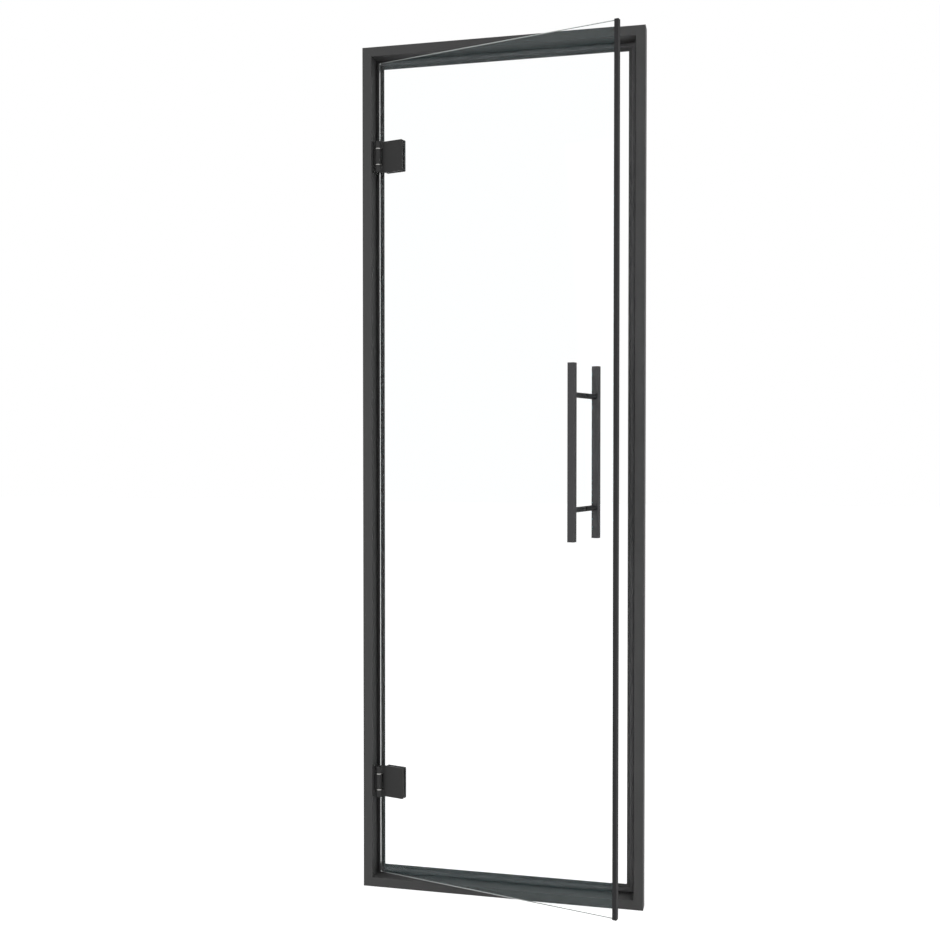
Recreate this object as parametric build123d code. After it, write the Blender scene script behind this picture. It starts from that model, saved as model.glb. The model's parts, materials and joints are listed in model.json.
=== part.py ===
"""Steam room door: a glass leaf on two barrel hinges in a four-sided aluminium frame.

Millimetres, +Z up. The origin is on the frame's underside, in the middle of its
width and of the depth of its outer side face. The front of the door faces -Y, the
leaf is hinged on the left and stands ajar towards the viewer.

The pieces of the leaf are drawn with the leaf closed and the hinge axis at the
origin, X running along the leaf and Y into the room, and are then swung open.
"""
from build123d import *
import os

os.makedirs("parts", exist_ok=True)

# Frame, a mitred hollow extrusion on all four sides
frame_width = 700.0
frame_height = 2100.0
face_width = 23.0          # front face of the frame
flange_depth = 36.0        # depth of the outer side face
frame_depth = 50.0         # front face to the back of the stop
back_inset = 6.0           # the back part stands in from the outer side face
frame_wall = 2.0
stop_width = 20.5          # the stop lip stands this far into the opening
stop_thickness = 3.5
frame_edge_chamfer = 0.4

# Screws that hold the jambs to the wall
fixing_hole_diameter = 6.5
fixing_end_distance = 150.0
fixing_inner_distance = 750.0

# Angle cleats that join the mitres from inside
cleat_leg = 60.0
cleat_thickness = 4.0
cleat_clearance = 0.2

# Hollow compression seal on the stop, all round
seal_offset = 4.0          # reveal to the seal
seal_width = 8.5
seal_height = 5.0
seal_wall = 0.9
seal_corner = 1.5
seal_foot_width = 3.0
seal_foot_depth = 1.5

# Leaf
open_angle = 15.0          # the leaf stands ajar by this much
axis_inset = 14.6          # hinge axis from the hinge jamb's reveal
axis_depth = 10.9          # hinge axis behind the frame's front face
glass_thickness = 8.0
glass_setback = 13.4       # hinge axis to the front of the glass
glass_overhang = 5.0       # the glass passes the hinge axis by this much
glass_top_gap = 9.8        # glass to the head
glass_bottom_gap = 6.6     # glass to the sill
closing_gap = 7.0          # edge profile to the latch jamb, leaf closed
glass_corner_cut = 2.0
glass_arris = 0.8

# Profile along the closing edge of the glass
edge_profile_width = 10.0
edge_profile_wall = 2.2
edge_profile_web = 3.0
edge_cap_thickness = 1.5
edge_profile_chamfer = 0.3

# Hinges
hinge_height = 77.0
upper_hinge_distance = 269.7   # hinge centre from the top of the frame
lower_hinge_distance = 264.3   # hinge centre from the bottom of the frame
barrel_diameter = 15.0
pin_diameter = 8.0
pin_clearance = 0.05
frame_knuckle_height = 38.0
washer_thickness = 1.8
washer_clearance = 0.1
knuckle_play = 0.2          # washer to the leaf's knuckle
clamp_thickness = 5.5
clamp_front_start = 6.5     # hinge axis to the near edge of the front clamp plate
clamp_back_start = 12.0     # hinge axis to the near edge of the back clamp plate
clamp_end = 65.0            # hinge axis to the far edge of both plates
clamp_corner_radius = 2.0
clamp_gasket = 0.5
gasket_inset = 1.0          # the gaskets stop short of the plates' edges
clamp_boss_diameter = 10.0
clamp_boss_spacing = 44.0
glass_hole_clearance = 1.5  # round each boss and each handle stud
frame_plate_thickness = 3.0
frame_plate_depth = 32.0
frame_plate_front = 5.0     # frame's front face to the hinge plate's front edge
frame_plate_radius = 3.0
frame_arm_thickness = 7.0

# Pull handles, one on each side, bolted through the glass
handle_bar_side = 16.0
handle_bar_length = 403.0
handle_bar_chamfer = 0.4
handle_clearance = 60.3     # glass to the bar
handle_closing_distance = 82.5  # bar centre to the closing edge
handle_centre_height = 1094.2
standoff_diameter = 12.5
standoff_spacing = 259.5
stud_diameter = 6.0
stud_engagement = 12.0      # length of stud inside each standoff

# Sizes that follow from the ones above
half_width = frame_width / 2
front_y = -flange_depth / 2
rebate_depth = frame_depth - stop_thickness
seal_middle = face_width + seal_offset + seal_width / 2
reveal_x = -half_width + face_width
axis_x = reveal_x + axis_inset
axis_y = front_y + axis_depth
leaf_end = frame_width - 2 * face_width - axis_inset - closing_gap
glass_back = glass_setback + glass_thickness
glass_middle = glass_setback + glass_thickness / 2
glass_bottom = face_width + glass_bottom_gap
glass_top = frame_height - face_width - glass_top_gap
glass_start = -glass_overhang
glass_end = leaf_end - edge_profile_web
handle_x = leaf_end - handle_closing_distance
hinge_heights = {"upper": frame_height - upper_hinge_distance, "lower": lower_hinge_distance}
barrel_radius = barrel_diameter / 2
boss_x = (clamp_back_start + clamp_end) / 2
clamp_front_y = glass_setback - clamp_gasket - clamp_thickness
clamp_back_y = glass_back + clamp_gasket
leaf_place = Location((axis_x, axis_y, 0), (0, 0, -open_angle))


def box_between(x0, x1, y0, y1, z0, z1):
    """A box given by its limits along each axis."""
    return Pos((x0 + x1) / 2, (y0 + y1) / 2, (z0 + z1) / 2) * Box(x1 - x0, y1 - y0, z1 - z0)


def rod_along_z(x, y, z0, z1, diameter):
    return Pos(x, y, (z0 + z1) / 2) * Cylinder(diameter / 2, z1 - z0)


def rod_along_y(x, y0, y1, z, diameter):
    return Pos(x, (y0 + y1) / 2, z) * Rot(90, 0, 0) * Cylinder(diameter / 2, y1 - y0)


def face_from(points):
    return make_face(Polyline(*points, close=True))


def frame_section():
    """Section of the frame: across from the outer face, and back from the front face."""
    outline = face_from([
        (0, 0),
        (face_width, 0),
        (face_width, rebate_depth),
        (face_width + stop_width, rebate_depth),
        (face_width + stop_width, frame_depth),
        (back_inset, frame_depth),
        (back_inset, flange_depth),
        (0, flange_depth),
    ])
    inner_corners = [(face_width, rebate_depth), (back_inset, flange_depth)]
    outer_corners = [v for v in outline.vertices()
                     if all(abs(v.X - x) + abs(v.Y - y) > 0.01 for x, y in inner_corners)]
    outline = chamfer(outer_corners, frame_edge_chamfer)
    chamber = face_from([
        (frame_wall, frame_wall),
        (face_width - frame_wall, frame_wall),
        (face_width - frame_wall, frame_depth - frame_wall),
        (back_inset + frame_wall, frame_depth - frame_wall),
        (back_inset + frame_wall, flange_depth - frame_wall),
        (frame_wall, flange_depth - frame_wall),
    ])
    return outline - chamber - seal_foot()


def seal_foot():
    """Foot of the seal, and the groove in the stop that takes it."""
    return Pos(seal_middle, rebate_depth + seal_foot_depth / 2) * Rectangle(seal_foot_width, seal_foot_depth)


def seal_tube(width, height, corner):
    """Rectangle centred on the seal, with its two front corners cut."""
    tube = Pos(seal_middle, rebate_depth - seal_height / 2) * Rectangle(width, height)
    return chamfer(tube.vertices().sort_by(Axis.Y)[:2], corner)


def seal_section():
    """Hollow tube that lies on the stop, with the foot in the stop's groove."""
    inner_corner = seal_corner - (2 - 2 ** 0.5) * seal_wall
    hollow = seal_tube(seal_width - 2 * seal_wall, seal_height - 2 * seal_wall, inner_corner)
    return seal_tube(seal_width, seal_height, seal_corner) - hollow + seal_foot()


def along_jamb(section):
    """The section run up the hinge jamb and mitred at both ends."""
    run = extrude(Pos(-half_width, front_y, 0) * section, frame_height)
    reach = face_width + stop_width
    mitre = face_from([
        (-half_width, 0),
        (-half_width + reach, reach),
        (-half_width + reach, frame_height - reach),
        (-half_width, frame_height),
    ])
    return run & extrude(Plane.XZ * mitre, 2 * frame_depth, both=True)


def along_sill(section):
    """The section run along the sill and mitred at both ends."""
    upright = extrude(Pos(0, front_y, 0) * section, frame_width)
    run = Pos(half_width, 0, 0) * Rot(0, -90, 0) * upright
    reach = face_width + stop_width
    mitre = face_from([
        (-half_width, 0),
        (half_width, 0),
        (half_width - reach, reach),
        (-half_width + reach, reach),
    ])
    return run & extrude(Plane.XZ * mitre, 2 * frame_depth, both=True)


def jamb_with_fixings():
    """Hinge jamb with four screw holes from the reveal through to the wall side."""
    jamb = along_jamb(frame_section())
    from_ends = (fixing_end_distance, fixing_inner_distance)
    for z in [*from_ends, *(frame_height - distance for distance in from_ends)]:
        place = Pos(-half_width + face_width / 2, 0, z) * Rot(0, 90, 0)
        jamb -= place * Cylinder(fixing_hole_diameter / 2, face_width + 2)
    return jamb


def corner_cleat():
    """Angle cleat inside the mitre of the hinge jamb and the sill."""
    near = frame_wall + cleat_clearance
    far, inner = near + cleat_leg, near + cleat_thickness
    angle = face_from([(near, near), (far, near), (far, inner), (inner, inner), (inner, far), (near, far)])
    plane = Plane(origin=(-half_width, front_y + near, 0), x_dir=(1, 0, 0), z_dir=(0, -1, 0))
    return extrude(plane * angle, -(flange_depth - 2 * near))


def to_latch_side(shape):
    return mirror(shape, Plane.YZ)


def to_top(shape):
    return mirror(shape, Plane.XY.offset(frame_height / 2))


def boss_heights(height):
    """Where the front clamp plate's bosses pass the glass."""
    return [height - clamp_boss_spacing / 2, height + clamp_boss_spacing / 2]


def stud_heights():
    half = standoff_spacing / 2
    return {"lower": handle_centre_height - half, "upper": handle_centre_height + half}


def glass_leaf():
    """Pane with arrised edges, drilled for the hinges and the handles."""
    width, height = glass_end - glass_start, glass_top - glass_bottom
    middle_x, middle_z = (glass_start + glass_end) / 2, (glass_top + glass_bottom) / 2
    pane = Pos(middle_x, glass_middle, middle_z) * Box(width, glass_thickness, height)
    pane = chamfer(pane.edges().filter_by(Axis.Y), glass_corner_cut)
    pane = chamfer(pane.faces().filter_by(Axis.Y).edges(), glass_arris)
    holes = [(boss_x, z, clamp_boss_diameter)
             for height in hinge_heights.values() for z in boss_heights(height)]
    holes += [(handle_x, z, stud_diameter) for z in stud_heights().values()]
    for x, z, diameter in holes:
        hole = diameter + 2 * glass_hole_clearance
        pane -= rod_along_y(x, glass_setback - 1, glass_back + 1, z, hole)
    return pane


def edge_profile_outline():
    y0, y1 = glass_setback - edge_profile_wall, glass_back + edge_profile_wall
    outline = Pos(leaf_end - edge_profile_width / 2, (y0 + y1) / 2) * Rectangle(edge_profile_width, y1 - y0)
    return chamfer(outline.vertices(), edge_profile_chamfer)


def edge_profile():
    """U-profile that grips the closing edge of the glass."""
    x0 = leaf_end - edge_profile_width
    slot = Pos((x0 + glass_end) / 2 - 1, glass_middle) * Rectangle(glass_end - x0 + 2, glass_thickness)
    return extrude(Pos(0, 0, glass_bottom) * (edge_profile_outline() - slot), glass_top - glass_bottom)


def edge_profile_cap(z):
    """End cap of the edge profile, from z upwards."""
    return extrude(Pos(0, 0, z) * edge_profile_outline(), edge_cap_thickness)


def clamp_plate(x0, y0, height):
    """Flat plate of a hinge, from x0 to the clamp's far edge."""
    half = hinge_height / 2
    plate = box_between(x0, clamp_end, y0, y0 + clamp_thickness, height - half, height + half)
    return fillet(plate.edges().filter_by(Axis.Y), clamp_corner_radius)


def knuckle_web():
    """Web from the leaf's knuckle into the clamp plate, tangent to the barrel."""
    tangent = barrel_radius / 2 ** 0.5
    return face_from([
        (-tangent, tangent),
        (clamp_front_start + clamp_corner_radius, clamp_front_y + clamp_thickness),
        (clamp_front_start + 2 * clamp_corner_radius, clamp_front_y),
        (tangent, -tangent),
    ])


def hinge_clamp_front(height):
    """Front clamp plate with the leaf's two knuckles and the bosses through the glass."""
    body = clamp_plate(clamp_front_start, clamp_front_y, height)
    for z in boss_heights(height):
        body += rod_along_y(boss_x, glass_setback - clamp_gasket, clamp_back_y, z, clamp_boss_diameter)
    half = hinge_height / 2
    reach = frame_knuckle_height / 2 + washer_thickness + knuckle_play
    top = extrude(Pos(0, 0, height + reach) * (knuckle_web() + Circle(barrel_radius)), half - reach)
    body = body + top + mirror(top, Plane.XY.offset(height))
    return body - rod_along_z(0, 0, height - half, height + half, pin_diameter)


def hinge_clamp_back(height):
    """Back clamp plate, which the bosses of the front one stand against."""
    return clamp_plate(clamp_back_start, clamp_back_y, height)


def hinge_gasket(x0, y0, height):
    """Gasket between a clamp plate that starts at x0 and the glass."""
    half = hinge_height / 2 - gasket_inset
    pad = box_between(x0 + gasket_inset, clamp_end - gasket_inset, y0, y0 + clamp_gasket,
                      height - half, height + half)
    for z in boss_heights(height):
        pad -= rod_along_y(boss_x, y0 - 1, y0 + clamp_gasket + 1, z, clamp_boss_diameter)
    return pad


def hinge_pin(height):
    half = hinge_height / 2
    return rod_along_z(0, 0, height - half, height + half, pin_diameter)


def hinge_washer(z):
    ring = rod_along_z(0, 0, z, z + washer_thickness, barrel_diameter)
    bore = pin_diameter + 2 * washer_clearance
    return ring - rod_along_z(0, 0, z - 1, z + washer_thickness + 1, bore)


def hinge_frame_plate(height):
    """Plate screwed to the jamb's reveal, with the middle knuckle on an arm behind it."""
    x0, y0 = -axis_inset, frame_plate_front - axis_depth
    x1, y1 = x0 + frame_plate_thickness, y0 + frame_plate_depth
    plate = box_between(x0, x1, y0, y1, height - hinge_height / 2, height + hinge_height / 2)
    plate = fillet(plate.edges().filter_by(Axis.X), frame_plate_radius)
    half = frame_knuckle_height / 2
    arm = Pos(x1 / 2, barrel_radius - frame_arm_thickness / 2) * Rectangle(-x1, frame_arm_thickness)
    knuckle = extrude(Pos(0, 0, height - half) * (arm + Circle(barrel_radius)), 2 * half)
    bore = pin_diameter + 2 * pin_clearance
    return plate + knuckle - rod_along_z(0, 0, height - half, height + half, bore)


def handle_bar(outer):
    """Square bar of a pull handle, in front of the glass or behind it."""
    reach = handle_clearance + handle_bar_side / 2
    y = glass_setback - reach if outer else glass_back + reach
    bar = Pos(handle_x, y, handle_centre_height) * Box(handle_bar_side, handle_bar_side, handle_bar_length)
    return chamfer(bar.edges(), handle_bar_chamfer)


def handle_standoff(outer, z):
    """Rod from the glass to the bar, bored at the glass for the stud."""
    if outer:
        rod = rod_along_y(handle_x, glass_setback - handle_clearance, glass_setback, z, standoff_diameter)
        return rod - rod_along_y(handle_x, glass_setback - stud_engagement, glass_setback, z, stud_diameter)
    rod = rod_along_y(handle_x, glass_back, glass_back + handle_clearance, z, standoff_diameter)
    return rod - rod_along_y(handle_x, glass_back, glass_back + stud_engagement, z, stud_diameter)


def handle_stud(z):
    """Stud through the glass that joins an outer and an inner standoff."""
    return rod_along_y(handle_x, glass_setback - stud_engagement, glass_back + stud_engagement, z, stud_diameter)


def frame_pieces():
    jamb, sill = jamb_with_fixings(), along_sill(frame_section())
    seal_up, seal_across = along_jamb(seal_section()), along_sill(seal_section())
    cleat = corner_cleat()
    pieces = {
        "hinge_jamb": jamb,
        "latch_jamb": to_latch_side(jamb),
        "sill": sill,
        "head": to_top(sill),
        "seal_hinge_side": seal_up,
        "seal_latch_side": to_latch_side(seal_up),
        "seal_sill": seal_across,
        "seal_head": to_top(seal_across),
        "cleat_hinge_bottom": cleat,
        "cleat_latch_bottom": to_latch_side(cleat),
        "cleat_hinge_top": to_top(cleat),
        "cleat_latch_top": to_top(to_latch_side(cleat)),
    }
    at_axis = Location((axis_x, axis_y, 0))
    half = frame_knuckle_height / 2
    for name, height in hinge_heights.items():
        pieces[name + "_hinge_frame_plate"] = at_axis * hinge_frame_plate(height)
        pieces[name + "_hinge_washer_top"] = at_axis * hinge_washer(height + half)
        pieces[name + "_hinge_washer_bottom"] = at_axis * hinge_washer(height - half - washer_thickness)
    return pieces


def leaf_pieces():
    pieces = {
        "glass_leaf": glass_leaf(),
        "closing_edge_profile": edge_profile(),
        "edge_profile_cap_top": edge_profile_cap(glass_top),
        "edge_profile_cap_bottom": edge_profile_cap(glass_bottom - edge_cap_thickness),
        "handle_bar_outer": handle_bar(True),
        "handle_bar_inner": handle_bar(False),
    }
    for name, z in stud_heights().items():
        pieces["standoff_outer_" + name] = handle_standoff(True, z)
        pieces["standoff_inner_" + name] = handle_standoff(False, z)
        pieces["handle_stud_" + name] = handle_stud(z)
    for name, height in hinge_heights.items():
        pieces[name + "_hinge_clamp_front"] = hinge_clamp_front(height)
        pieces[name + "_hinge_clamp_back"] = hinge_clamp_back(height)
        pieces[name + "_hinge_gasket_front"] = hinge_gasket(clamp_front_start, glass_setback - clamp_gasket, height)
        pieces[name + "_hinge_gasket_back"] = hinge_gasket(clamp_back_start, glass_back, height)
        pieces[name + "_hinge_pin"] = hinge_pin(height)
    return {node: leaf_place * shape for node, shape in pieces.items()}


for node, shape in {**frame_pieces(), **leaf_pieces()}.items():
    export_step(shape, "parts/" + node + ".step")
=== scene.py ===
"""Steam room door: finishes, screws and caps, floor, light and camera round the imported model.

Metres, +Z up, in the frame of the CAD model: the origin is under the middle of the sill,
and the front of the door faces -Y.
"""
import json
import math

import bmesh
import bpy
from mathutils import Matrix, Vector


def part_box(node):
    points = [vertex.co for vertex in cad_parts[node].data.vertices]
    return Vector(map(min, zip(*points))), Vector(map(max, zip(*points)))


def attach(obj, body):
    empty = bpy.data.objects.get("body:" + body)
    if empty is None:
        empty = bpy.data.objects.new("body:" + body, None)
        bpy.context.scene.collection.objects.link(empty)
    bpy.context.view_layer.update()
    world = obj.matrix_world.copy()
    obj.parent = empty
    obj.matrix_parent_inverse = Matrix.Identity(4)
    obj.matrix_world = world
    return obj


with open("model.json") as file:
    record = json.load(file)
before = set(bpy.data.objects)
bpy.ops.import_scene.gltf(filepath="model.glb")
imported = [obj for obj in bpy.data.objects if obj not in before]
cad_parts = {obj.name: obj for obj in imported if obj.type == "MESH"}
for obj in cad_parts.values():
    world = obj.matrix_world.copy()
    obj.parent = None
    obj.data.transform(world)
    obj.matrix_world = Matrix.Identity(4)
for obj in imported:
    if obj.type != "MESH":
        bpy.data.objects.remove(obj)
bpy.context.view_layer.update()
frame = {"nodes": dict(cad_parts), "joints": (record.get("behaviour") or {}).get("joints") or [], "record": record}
NODES = frame["nodes"]
HINGE = frame["joints"][0]
MM = 0.001

# The leaf's own axes: X along the leaf from the hinge axis, Y through its thickness into
# the room. The hinge closes by as much as the leaf stands open.
LEAF = (Matrix.Translation((HINGE["pos_m"][0], HINGE["pos_m"][1], 0))
        @ Matrix.Rotation(math.radians(HINGE["range_deg"][0]), 4, "Z"))

# Places on the leaf, from the hinge axis
BACK_PLATE_FACE = 27.4 * MM
BOSS_DISTANCE = 38.5 * MM
BOSS_SPACING = 44 * MM

# Frame plate of a hinge, and the frame's face
FRAME_PLATE_THICKNESS = 3 * MM
FRAME_PLATE_DEPTH = 32 * MM
FACE_WIDTH = 23 * MM

# Countersunk screws with a hexagon socket: M5 in the frame plates, M6 in the clamps
SCREW_PROUD = 0.4 * MM
PLATE_SCREW_RADIUS = 4.6 * MM
PLATE_SCREW_SOCKET = 1.6 * MM
PLATE_SCREW_SPACING = 56 * MM
CLAMP_SCREW_RADIUS = 4.8 * MM
CLAMP_SCREW_SOCKET = 2 * MM

# Caps over the wall screws, at these distances from both ends of a jamb
CAP_RADIUS = 5 * MM
CAP_HEIGHT = 0.9 * MM
CAP_DISTANCES = {"outer": 150 * MM, "inner": 750 * MM}
CAP_DOME = ((1.0, 0.35), (0.93, 0.3), (0.8, 0.2), (0.5, 0.15))   # ring's scale, share of the height

SMOOTH_ANGLE = math.radians(35)
RING_SEGMENTS = 36

# Studio: even light all round, and soft boxes, each with its place, target, side and power
WORLD_LIGHT = 0.4
LAMPS = {
    "key": ((-1.2, -3.6, 1.7), (0, 0, 0.95), 2.2, 59),
    "fill": ((3.4, -1.9, 1.4), (0, 0, 1.0), 2.0, 53),
    "back": ((0.5, 2.6, 4.4), (0, 0, 1.1), 2.2, 36),
}
FLOOR_SIZE = 20
FLOOR_FILL = 0.81     # light that the white floor adds where it is seen

# Camera, solved from the straight edges of the door in the picture
IMAGE_WIDTH = 940
FOCAL_LENGTH = 1166.5   # pixels
SENSOR_WIDTH = 36
CAMERA_PLACE = (0.5879, -2.8002, 1.1052)
CAMERA_DIP = 1.10       # degrees below the horizon
CAMERA_TURN = 13.39     # degrees to the left


def linear(code):
    """Linear RGBA of an sRGB hex colour."""
    parts = [int(code[i:i + 2], 16) / 255 for i in (1, 3, 5)]
    return [c / 12.92 if c <= 0.04045 else ((c + 0.055) / 1.055) ** 2.4 for c in parts] + [1]


def add_node(tree, kind, inputs=None, **settings):
    """Adds a node with its settings; each input is a value or another node's output."""
    node = tree.nodes.new(kind)
    for name, value in settings.items():
        setattr(node, name, value)
    for name, value in (inputs or {}).items():
        if isinstance(value, bpy.types.NodeSocket):
            tree.links.new(value, node.inputs[name])
        else:
            node.inputs[name].default_value = value
    return node


def new_material(name):
    """An empty node material with its surface input, and the object's coordinates."""
    material = bpy.data.materials.new(name)
    material.use_nodes = True
    tree = material.node_tree
    tree.nodes.clear()
    surface = add_node(tree, "ShaderNodeOutputMaterial").inputs["Surface"]
    place = add_node(tree, "ShaderNodeTexCoord").outputs["Object"]
    return material, tree, surface, place


def mix_colours(tree, factor, low, high):
    """Colour that runs from one hex colour to another with a pattern."""
    blend = add_node(tree, "ShaderNodeMix", {0: factor, 6: linear(low), 7: linear(high)},
                     data_type="RGBA")
    return blend.outputs[2]


def coated_metal(name, low, high, roughness, grain, relief, gloss):
    """Paint, powder coat or anodising on metal: a pebbled skin of the given grain and relief,
    a tone that drifts between two colours, and as much gloss as the coat has."""
    cloud = 120 * MM
    material, tree, surface, place = new_material(name)
    drift = add_node(tree, "ShaderNodeTexNoise", {
        "Vector": place, "Scale": 1 / cloud, "Detail": 3})
    colour = mix_colours(tree, drift.outputs["Fac"], low, high)
    skin = add_node(tree, "ShaderNodeTexNoise", {
        "Vector": place, "Scale": 1 / grain, "Detail": 2})
    sheen = add_node(tree, "ShaderNodeMapRange", {
        "Value": skin.outputs["Fac"], "To Min": roughness - 0.06, "To Max": roughness + 0.06})
    bump = add_node(tree, "ShaderNodeBump", {
        "Height": skin.outputs["Fac"], "Strength": 0.5, "Distance": relief})
    shader = add_node(tree, "ShaderNodeBsdfPrincipled", {
        "Base Color": colour, "Roughness": sheen.outputs["Result"],
        "Normal": bump.outputs["Normal"], "Specular IOR Level": gloss})
    tree.links.new(shader.outputs["BSDF"], surface)
    return material


def rubber(name, low, high):
    """EPDM rubber, extruded: matt, with a bloom in patches of about 17 mm that greys it a
    little and leaves it faintly uneven."""
    material, tree, surface, place = new_material(name)
    bloom = add_node(tree, "ShaderNodeTexNoise", {"Vector": place, "Scale": 60.0, "Detail": 3})
    colour = mix_colours(tree, bloom.outputs["Fac"], low, high)
    bump = add_node(tree, "ShaderNodeBump", {
        "Height": bloom.outputs["Fac"], "Strength": 0.2, "Distance": 0.1 * MM})
    shader = add_node(tree, "ShaderNodeBsdfPrincipled", {
        "Base Color": colour, "Roughness": 0.75, "Normal": bump.outputs["Normal"],
        "Specular IOR Level": 0.3})
    tree.links.new(shader.outputs["BSDF"], surface)
    return material


def lined_metal(name, code, roughness, line):
    """Bare metal with fine level lines: the rings that a lathe leaves round a washer or pin,
    or the draw lines of an extrusion. They are drawn coarser than real, so that they show as
    streaks in the sheen."""
    material, tree, surface, place = new_material(name)
    stretch = add_node(tree, "ShaderNodeMapping", {"Vector": place, "Scale": (0.05, 0.05, 1.0)})
    lines = add_node(tree, "ShaderNodeTexNoise", {
        "Vector": stretch.outputs["Vector"], "Scale": 1 / line, "Detail": 2})
    sheen = add_node(tree, "ShaderNodeMapRange", {
        "Value": lines.outputs["Fac"], "To Min": roughness - 0.08, "To Max": roughness + 0.08})
    bump = add_node(tree, "ShaderNodeBump", {
        "Height": lines.outputs["Fac"], "Strength": 0.3, "Distance": 0.02 * MM})
    shader = add_node(tree, "ShaderNodeBsdfPrincipled", {
        "Base Color": linear(code), "Metallic": 1.0, "Roughness": sheen.outputs["Result"],
        "Normal": bump.outputs["Normal"]})
    tree.links.new(shader.outputs["BSDF"], surface)
    return material


def float_glass():
    """Toughened soda-lime float glass: clear polished faces, and edges ground to a fine
    frost, which read as thin grey-green lines."""
    material, tree, surface, _ = new_material("toughened_float_glass")
    normal = add_node(tree, "ShaderNodeTexCoord").outputs["Normal"]
    across = LEAF.to_3x3() @ Vector((0, 1, 0))
    facing_out = add_node(tree, "ShaderNodeVectorMath", {0: normal, 1: across},
                          operation="DOT_PRODUCT")
    flat = add_node(tree, "ShaderNodeMath", {0: facing_out.outputs["Value"]},
                    operation="ABSOLUTE")
    edge = add_node(tree, "ShaderNodeMath", {0: flat.outputs[0], 1: 0.9}, operation="LESS_THAN")
    colour = mix_colours(tree, edge.outputs[0], "#feffff", "#505c57")
    frost = add_node(tree, "ShaderNodeMath", {0: edge.outputs[0], 1: 0.3}, operation="MULTIPLY")
    shader = add_node(tree, "ShaderNodeBsdfPrincipled", {
        "Base Color": colour, "Roughness": frost.outputs[0], "IOR": 1.5,
        "Transmission Weight": 1.0, "Specular Tint": linear("#466f72"),
        "Specular IOR Level": 0.4})
    tree.links.new(shader.outputs["BSDF"], surface)
    return material


# Extruded aluminium, powder coated: matt charcoal with a fine orange peel
FRAME_COAT = coated_metal("powder_coated_aluminium", "#3b3b3b", "#414141",
                          0.6, 0.9 * MM, 0.05 * MM, 0.4)
# Extruded aluminium, coated smoother: a flat, slightly darker satin
PROFILE_COAT = coated_metal("satin_coated_edge_profile", "#353536", "#3b3b3c",
                            0.5, 0.6 * MM, 0.02 * MM, 0.05)
# Machined steel in a black coat: a close skin with a soft shine on the barrels
HINGE_COAT = coated_metal("black_coated_hinge_steel", "#2b2b2b", "#313131",
                          0.5, 0.5 * MM, 0.02 * MM, 0.25)
# Square bar in a satin coat: even, and the palest of the coats
HANDLE_COAT = coated_metal("satin_black_handle_coat", "#4a4a4b", "#505051",
                           0.5, 0.5 * MM, 0.02 * MM, 0.05)
# Turned standoffs in a deep black coat, darker than the bars that they carry
STANDOFF_COAT = coated_metal("black_coated_standoff", "#1c1d1e", "#222324",
                             0.45, 0.4 * MM, 0.02 * MM, 0.15)
# Anodised end caps: nearly black, with hardly any relief
CAP_COAT = coated_metal("black_anodised_end_cap", "#0e0e0e", "#151515",
                        0.45, 0.4 * MM, 0.01 * MM, 0.1)
# Seal: a mid grey, and matt beside the frame
SEAL_RUBBER = rubber("epdm_seal_rubber", "#4d4d4e", "#555556")
# Gaskets: a thin paler line between the glass and the clamps
GASKET_RUBBER = rubber("clamp_gasket_rubber", "#585858", "#606060")
# Turned stainless steel: the bright rings between the knuckles
WASHER_STEEL = lined_metal("turned_stainless_washer", "#c4c3c0", 0.4, 0.3 * MM)
# Ground steel: a duller grey, at the ends of the barrels
PIN_STEEL = lined_metal("ground_steel_pin", "#8f8f8f", 0.3, 0.3 * MM)
# Aluminium as it comes from the mill: pale, inside the mitres
CLEAT_METAL = lined_metal("mill_finish_aluminium_cleat", "#c3c4c6", 0.5, 1 * MM)
GLASS = float_glass()

SLOT_MATERIALS = {
    "frame_coating": FRAME_COAT,
    "seal_rubber": SEAL_RUBBER,
    "clear_glass": GLASS,
    "edge_profile_coating": PROFILE_COAT,
    "hinge_coating": HINGE_COAT,
    "washer_steel": WASHER_STEEL,
    "handle_coating": HANDLE_COAT,
    "gasket_rubber": GASKET_RUBBER,
    "pin_steel": PIN_STEEL,
    "cleat_aluminium": CLEAT_METAL,
}


def finish_of(node, slot):
    """The finish of a CAD node: that of its slot, but for the standoffs and the end caps."""
    if node.startswith("standoff"):
        return STANDOFF_COAT
    if node.startswith("edge_profile_cap"):
        return CAP_COAT
    return SLOT_MATERIALS[slot]


def dress_nodes():
    """Gives each CAD node its finish."""
    for part in frame["record"]["subparts"]:
        mesh = NODES[part["node"]].data
        mesh.materials.clear()
        mesh.materials.append(finish_of(part["node"], part["material_slot"]))


def add_piece(name, bm, place, body, slot):
    """Makes a piece from a bmesh that faces +Z at the origin, set at its place on a body."""
    bm.transform(place)
    bmesh.ops.recalc_face_normals(bm, faces=bm.faces)
    mesh = bpy.data.meshes.new(name)
    bm.to_mesh(mesh)
    bm.free()
    mesh.shade_smooth()
    mesh.set_sharp_from_angle(angle=SMOOTH_ANGLE)
    mesh.materials.append(SLOT_MATERIALS[slot])
    piece = bpy.data.objects.new(name, mesh)
    bpy.context.scene.collection.objects.link(piece)
    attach(piece, body)


def extrude_ring(bm, edges, radius_scale, rise):
    """Extrudes a ring of edges, scales it about the Z axis and lifts it; returns the new edges."""
    made = bmesh.ops.extrude_edge_only(bm, edges=edges)["geom"]
    verts = [v for v in made if isinstance(v, bmesh.types.BMVert)]
    bmesh.ops.scale(bm, verts=verts, vec=(radius_scale, radius_scale, 1))
    bmesh.ops.translate(bm, verts=verts, vec=(0, 0, rise))
    return [e for e in made if isinstance(e, bmesh.types.BMEdge)]


def start_disc(bm, radius):
    """Closes a circle into a disc, which is a piece's hidden underside; returns its edges."""
    bmesh.ops.create_circle(bm, segments=RING_SEGMENTS, radius=radius)
    edges = list(bm.edges)
    bmesh.ops.contextual_create(bm, geom=edges)
    return edges


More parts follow.
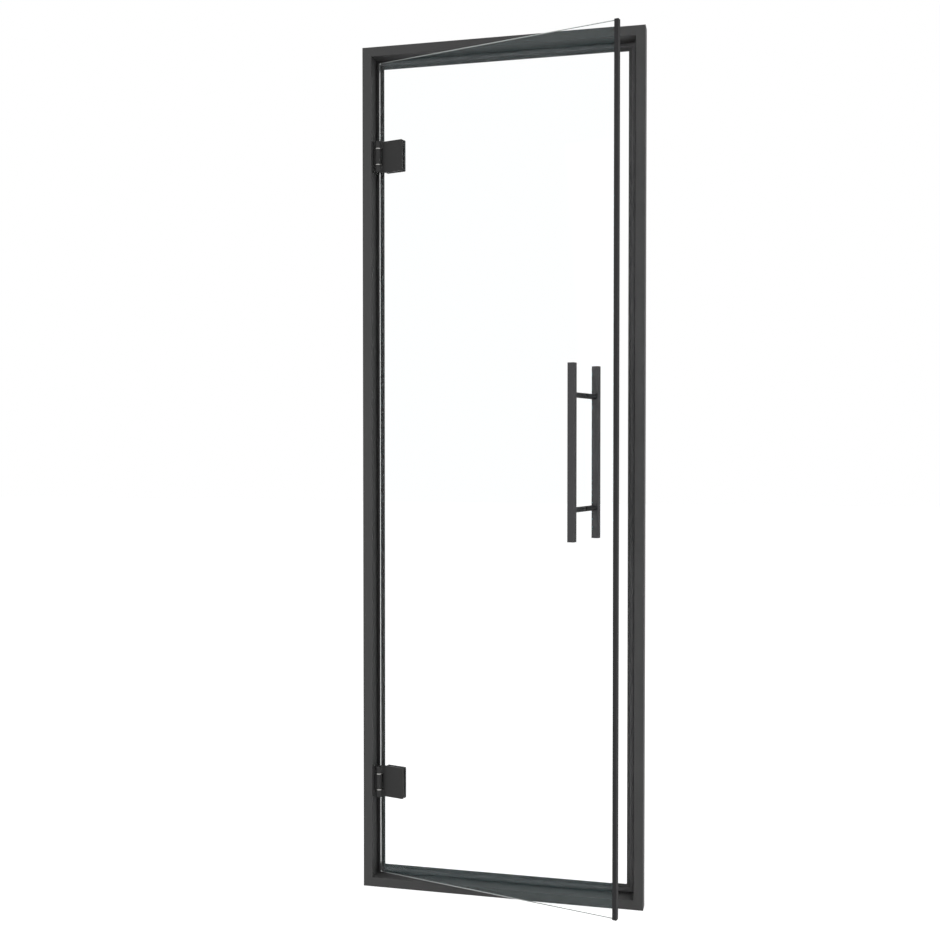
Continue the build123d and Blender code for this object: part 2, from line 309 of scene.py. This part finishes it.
def socket_screw(radius, socket):
    """Head of a countersunk screw, just proud of its plate, with a hexagon socket."""
    bm = bmesh.new()
    base = start_disc(bm, radius)
    edge = extrude_ring(bm, base, 1.0, SCREW_PROUD * 0.6)
    rim = extrude_ring(bm, edge, 0.95, SCREW_PROUD * 0.4)
    hexagon = bmesh.ops.create_circle(bm, segments=6, radius=socket)["verts"]
    bmesh.ops.translate(bm, verts=hexagon, vec=(0, 0, SCREW_PROUD))
    mouth = [e for e in bm.edges if all(v in hexagon for v in e.verts)]
    bmesh.ops.bridge_loops(bm, edges=rim + mouth)
    floor = extrude_ring(bm, mouth, 0.96, -SCREW_PROUD * 0.9)
    bmesh.ops.contextual_create(bm, geom=floor)
    return bm


def cover_cap():
    """Low domed plug over a fixing hole."""
    bm = bmesh.new()
    ring = start_disc(bm, CAP_RADIUS)
    for scale, share in CAP_DOME:
        ring = extrude_ring(bm, ring, scale, CAP_HEIGHT * share)
    bmesh.ops.contextual_create(bm, geom=ring)
    return bm


def facing(point, direction):
    """Place of a piece that faces a direction, at a point."""
    turn = Vector(direction).to_track_quat("Z", "X").to_matrix().to_4x4()
    return Matrix.Translation(point) @ turn


def add_hinge_screws():
    """Two screws in each frame plate, and two in each back clamp plate."""
    for name in ("upper", "lower"):
        low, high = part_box(name + "_hinge_frame_plate")
        middle = (low.z + high.z) / 2
        plate_face = low.x + FRAME_PLATE_THICKNESS
        plate_centre = low.y + FRAME_PLATE_DEPTH / 2
        for side, sign in (("top", 1), ("bottom", -1)):
            spot = (plate_face, plate_centre, middle + sign * PLATE_SCREW_SPACING / 2)
            add_piece(f"{name}_plate_screw_{side}",
                      socket_screw(PLATE_SCREW_RADIUS, PLATE_SCREW_SOCKET),
                      facing(spot, (1, 0, 0)), "frame", "hinge_coating")
            spot = (BOSS_DISTANCE, BACK_PLATE_FACE, middle + sign * BOSS_SPACING / 2)
            add_piece(f"{name}_clamp_screw_{side}",
                      socket_screw(CLAMP_SCREW_RADIUS, CLAMP_SCREW_SOCKET),
                      LEAF @ facing(spot, (0, 1, 0)), "leaf", "hinge_coating")


def add_fixing_caps():
    """Caps over the wall screws in the reveals of both jambs."""
    low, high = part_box("hinge_jamb")
    reveal = low.x + FACE_WIDTH
    for spot, distance in CAP_DISTANCES.items():
        for end, z in (("bottom", distance), ("top", high.z - distance)):
            for side, sign in (("hinge", 1), ("latch", -1)):
                add_piece(f"fixing_cap_{side}_{spot}_{end}", cover_cap(),
                          facing((sign * reveal, 0, z), (sign, 0, 0)), "frame", "frame_coating")


def seeing_rays(tree):
    """1 for the rays by which the background is seen: straight, mirrored or through glass."""
    path = add_node(tree, "ShaderNodeLightPath")
    seen = add_node(tree, "ShaderNodeMath", {
        0: path.outputs["Is Camera Ray"], 1: path.outputs["Is Glossy Ray"]}, operation="MAXIMUM")
    seen = add_node(tree, "ShaderNodeMath", {
        0: seen.outputs[0], 1: path.outputs["Is Transmission Ray"]}, operation="MAXIMUM")
    return seen.outputs[0]


def add_floor():
    """Plain white floor. It keeps the door's shadow, and reads as white elsewhere."""
    material, tree, surface, place = new_material("white_studio_floor")
    grain = add_node(tree, "ShaderNodeTexNoise", {"Vector": place, "Scale": 3.0, "Detail": 2})
    sheen = add_node(tree, "ShaderNodeMapRange", {
        "Value": grain.outputs["Fac"], "To Min": 0.85, "To Max": 0.95})
    shaded = add_node(tree, "ShaderNodeBsdfPrincipled", {
        "Base Color": linear("#bcbcbc"), "Roughness": sheen.outputs["Result"],
        "Specular IOR Level": 0.1})
    glow = add_node(tree, "ShaderNodeMath", {0: seeing_rays(tree), 1: FLOOR_FILL},
                    operation="MULTIPLY")
    white = add_node(tree, "ShaderNodeEmission", {"Strength": glow.outputs[0]})
    both = add_node(tree, "ShaderNodeAddShader", {0: shaded.outputs[0], 1: white.outputs[0]})
    tree.links.new(both.outputs[0], surface)
    bm = bmesh.new()
    bmesh.ops.create_grid(bm, x_segments=1, y_segments=1, size=FLOOR_SIZE)
    mesh = bpy.data.meshes.new("floor")
    bm.to_mesh(mesh)
    bm.free()
    mesh.materials.append(material)
    floor = bpy.data.objects.new("floor", mesh)
    bpy.context.scene.collection.objects.link(floor)


def add_world():
    """Even studio light all round, seen as plain white."""
    world = bpy.data.worlds.new("studio")
    world.use_nodes = True
    tree = world.node_tree
    tree.nodes.clear()
    soft = add_node(tree, "ShaderNodeBackground", {
        "Color": (1, 1, 1, 1), "Strength": WORLD_LIGHT})
    white = add_node(tree, "ShaderNodeBackground", {"Color": (1, 1, 1, 1), "Strength": 1.0})
    mixed = add_node(tree, "ShaderNodeMixShader", {
        0: seeing_rays(tree), 1: soft.outputs[0], 2: white.outputs[0]})
    output = add_node(tree, "ShaderNodeOutputWorld")
    tree.links.new(mixed.outputs[0], output.inputs["Surface"])
    bpy.context.scene.world = world


def add_lamp(name, place, target, side, power):
    """Large square soft box that points at a target. It is kept out of reflections, so that
    no bright square shows in the glass or on the coats."""
    lamp = bpy.data.lights.new(name, "AREA")
    lamp.shape = "SQUARE"
    lamp.size = side
    lamp.energy = power
    holder = bpy.data.objects.new(name, lamp)
    holder.location = place
    holder.visible_glossy = False
    holder.rotation_euler = (Vector(target) - Vector(place)).to_track_quat("-Z", "Y").to_euler()
    bpy.context.scene.collection.objects.link(holder)


def add_camera():
    """Camera that sees the door as the picture does."""
    lens = bpy.data.cameras.new("camera")
    lens.sensor_width = SENSOR_WIDTH
    lens.lens = SENSOR_WIDTH * FOCAL_LENGTH / IMAGE_WIDTH
    camera = bpy.data.objects.new("camera", lens)
    camera.location = CAMERA_PLACE
    camera.rotation_euler = (math.radians(90 - CAMERA_DIP), 0, math.radians(CAMERA_TURN))
    bpy.context.scene.collection.objects.link(camera)
    bpy.context.scene.camera = camera


dress_nodes()
add_hinge_screws()
add_fixing_caps()
add_floor()
add_world()
for lamp_name, lamp_values in LAMPS.items():
    add_lamp(lamp_name, *lamp_values)
add_camera()
bpy.context.scene.view_settings.view_transform = "Standard"
